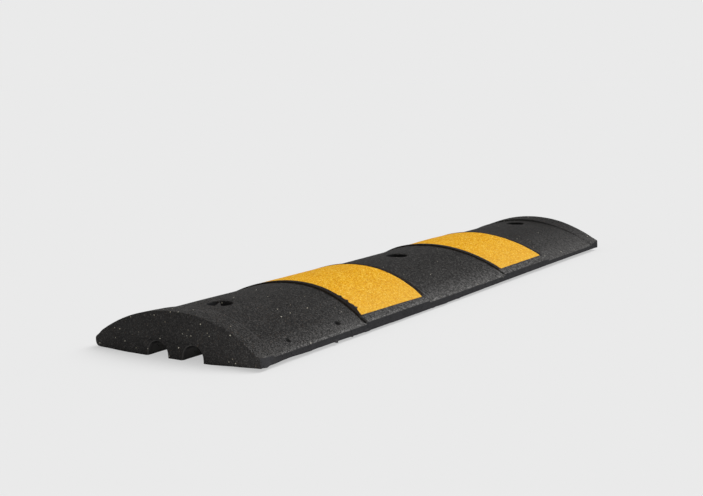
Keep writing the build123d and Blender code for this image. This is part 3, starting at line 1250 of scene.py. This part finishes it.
    def painted_margins(self):
        """Painted shade on the bands' end margins, which follow the bowed edges, with painted light on the
        risers' faces.
        """
        painted_share = 0.0
        for edge, line in zip(band_lines("far"), panel_lines("far")):
            past_edge = abs(self.station - (edge + line) / 2) - PANEL_END_MARGIN / 2
            painted_share = past_edge.span(*MARGIN_EDGE).or_more(painted_share)
        colour = self.mix(self.at_far_end, NEAR_MARGIN_SHADE, FAR_MARGIN)
        colour = self.mix(self.riser_facing, colour, RISER_LIGHT)
        colour = self.times(colour, self.blend(self.tone, *MARGIN_TINTS))
        self.cover(painted_share * (self.off_crest - PANEL_HALF_WIDTH).span(*MARGIN_SIDE), colour)

    def rim_edge_highlight(self):
        """Painted highlight along the worn inner edge of the near rim."""
        line = abs(self.past_rim_line).span(*RIM_HIGHLIGHT_LINE) * self.off_crest.span(*RIM_HIGHLIGHT_STARTS)
        self.cover(line * self.at_near_end, RIM_HIGHLIGHT)

    def shade_at_rim_foot(self):
        """Painted shade in the corner at the foot of the far rim, with a darker patch that spreads from it on
        the crest.
        """
        past = self.past_rim_line - RIM_SHADE_OFFSET
        line = abs(past).span(*RIM_SHADE_LINE) * self.off_crest.span(*RIM_SHADE_LINE_ENDS)
        broad = past.span(*RIM_DARK_STARTS) * past.span(*RIM_DARK_STOPS) * self.x.span(*RIM_DARK_ENDS_RIGHT)
        self.cover(line.or_more(broad) * self.at_far_end, CORNER_SHADE)

    def shade_at_band_foot(self):
        """Ragged painted shade in the corner at the foot of the near band, beside the lips."""
        edge, half_width, depth = BAND_TEAR
        torn = self.off_crest.span(edge - half_width, edge, 0.0, depth)
        foot = band_lines("far")[1] - BAND_SHADE_INSET - torn
        corner = abs(self.station + self.noise(*BAND_SHADE_RAG) - foot).span(*BAND_SHADE_LINE)
        beside_lip = (self.off_crest - (edge - half_width)).span(*BAND_SHADE_STARTS)
        on_slope = self.off_crest.span(*BAND_SHADE_ENDS)
        self.cover(corner * beside_lip * on_slope * self.at_near_end, CORNER_SHADE)

    def dark_hollows(self):
        """Painted shade down in the pits and down in the counterbores."""
        for across, along, half_width, half_length, _ in PITS:
            off_x = (self.x - across) / half_width
            off_y = (self.y - along) / half_length
            self.cover(off_x.reach(off_y).span(*PIT_EDGE), PORE_AND_SHADE_BLACK)
        below = (self.z - (HEIGHT - STEP_HEIGHT - HOLE_ROUND)).span(*HOLE_SHADE_BELOW)
        for end, place in HOLE_PLACES.items():
            inside = self.x.reach(self.y - place) < COUNTERBORE_RADIUS + HOLE_ROUND
            self.cover(inside * below * HOLE_SHADE[end], PORE_AND_SHADE_BLACK)


def black_crumb_rubber():
    """Black rubber with all its coats."""
    rubber = BlackRubber()
    rubber.granules()
    rubber.cut_ends_with_painted_light()
    rubber.smooth_lips()
    rubber.tint(rubber.ramp(rubber.noise(*BLACK_PATCH_NOISE), BLACK_PATCHES))
    rubber.slope_dust_and_sheen()
    rubber.lip_dust_and_highlight()
    rubber.channel_light_and_shade()
    rubber.crease()
    rubber.pores_and_flecks()
    rubber.painted_margins()
    rubber.rim_edge_highlight()
    rubber.shade_at_rim_foot()
    rubber.shade_at_band_foot()
    rubber.dark_hollows()
    bumps = (rubber.noise(*GRANULE_NOISE) - rubber.distance) * rubber.blend(rubber.lip_facing, 1.0, LIP_BUMPS)
    rubber.bump(bumps, *GRANULE_BUMP)
    return rubber.finish(Roughness=rubber.noise(*BLACK_ROUGHNESS), Specular_IOR_Level=BLACK_GLOSS)


def yellow_granulate():
    """Bonded yellow granules of several shades, a few of them dark, and paler towards the lips, where they
    are worn and a sheen is painted.
    """
    rubber = Surface("yellow_granulate")
    distance, tone, kind = rubber.graded_cells(*YELLOW_GRANULES)
    rubber.colour = rubber.ramp(tone, YELLOW_TONES)
    rubber.tint(rubber.ramp(rubber.noise(*YELLOW_PATCH_NOISE), YELLOW_PATCHES))
    rubber.cover(rubber.off_crest.span(*YELLOW_WEAR_AND_SHEEN), WORN_AND_SHEEN_YELLOW)
    rubber.cover(kind.span(*DARK_YELLOW_PICK), DARK_YELLOW)
    rubber.bump(rubber.noise(*GRANULE_NOISE) - distance, *GRANULE_BUMP)
    return rubber.finish(Roughness=rubber.noise(*YELLOW_ROUGHNESS), Specular_IOR_Level=YELLOW_GLOSS)


def dull_zinc():
    """Zinc plate that has dulled, with a little rust coming through."""
    zinc = Surface("dull_zinc")
    zinc.colour = zinc.ramp(zinc.noise(*ZINC_NOISE), ZINC_TONES)
    rust = zinc.noise(*RUST_PATCHES)
    zinc.cover(rust, RUST)
    zinc.bump(zinc.noise(*ZINC_BUMP_NOISE), *ZINC_BUMP)
    metallic = zinc.blend(rust, 1.0, RUST_METALLIC)
    return zinc.finish(Metallic=metallic, Roughness=zinc.noise(*ZINC_ROUGHNESS))


def dress(made, node, material):
    """Puts a finished piece in the place of its node."""
    made.data.materials.append(material)
    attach(made, "root")
    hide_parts(node)


# Stage

def place_camera():
    """Camera at the photograph's viewing angle."""
    azimuth, elevation, roll = np.radians([CAMERA_AZIMUTH, CAMERA_ELEVATION, CAMERA_ROLL])
    level = np.cos(elevation)
    back = Vector((np.sin(azimuth) * level, -np.cos(azimuth) * level, np.sin(elevation)))
    right = Vector((np.cos(azimuth), np.sin(azimuth), 0))
    up = back.cross(right)
    turned_right = right * np.cos(roll) + up * np.sin(roll)
    turned_up = up * np.cos(roll) - right * np.sin(roll)
    data = bpy.data.cameras.new("camera")
    data.sensor_width = SENSOR_WIDTH
    data.lens = CAMERA_FOCAL_PIXELS * SENSOR_WIDTH / PHOTO_WIDTH
    camera = bpy.data.objects.new("camera", data)
    camera.matrix_world = Matrix((turned_right, turned_up, back)).transposed().to_4x4()
    camera.location = CAMERA_AIM + back * CAMERA_DISTANCE
    bpy.context.scene.collection.objects.link(camera)
    bpy.context.scene.camera = camera


def lay_floor():
    """Wide pale floor, partly aglow to the camera, so that the shadow on it is a light one."""
    mesh = bpy.data.meshes.new("floor")
    reach = FLOOR_REACH * MM
    corners = [(x * reach, y * reach, 0) for x, y in ((-1, -1), (1, -1), (1, 1), (-1, 1))]
    mesh.from_pydata(corners, [], [(0, 1, 2, 3)])
    floor = bpy.data.objects.new("floor", mesh)
    bpy.context.scene.collection.objects.link(floor)
    paint = Surface("floor")
    paint.colour = grey(FLOOR_GREY)
    mesh.materials.append(paint.finish(Roughness=1.0, Specular_IOR_Level=0.0))
    matt = Field(paint, paint.shader.outputs["BSDF"])
    glow = paint.field("ShaderNodeEmission", "Emission", {"Color": paint.colour})
    paint.show_plain(matt, glow, FLOOR_GLOW, "Material Output")


def light_scene():
    """Even sky light and one broad soft key from the right; the camera sees the sky as pale as the floor."""
    world = bpy.data.worlds.new("studio")
    bpy.context.scene.world = world
    recipe = Recipe(world)
    sky = recipe.tree.nodes["Background"]
    recipe.feed(sky.inputs["Color"], grey(1.0))
    recipe.feed(sky.inputs["Strength"], SKY_LEVEL)
    backdrop = recipe.field("ShaderNodeBackground", "Background", {"Color": grey(FLOOR_GREY)})
    recipe.show_plain(Field(recipe, sky.outputs["Background"]), backdrop, 1.0, "World Output")

    data = bpy.data.lights.new("key", "SUN")
    data.energy = np.pi * (1 - SKY_LEVEL) / KEY_DIRECTION.normalized().z
    data.angle = KEY_ANGLE
    key = bpy.data.objects.new("key", data)
    key.rotation_mode = "QUATERNION"
    key.rotation_quaternion = KEY_DIRECTION.to_track_quat("Z", "Y")
    bpy.context.scene.collection.objects.link(key)


black_rubber = black_crumb_rubber()
yellow_rubber = yellow_granulate()
zinc_steel = dull_zinc()
dress(build_rubber_body(), "rubber_body", black_rubber)
for end in PANEL_BOXES:
    dress(build_panel(end), f"yellow_panel_{end}", yellow_rubber)
for end in WASHER_BOXES:
    dress(build_washer(end), f"seat_washer_{end}", zinc_steel)

place_camera()
lay_floor()
light_scene()
bpy.context.scene.view_settings.view_transform = "Standard"
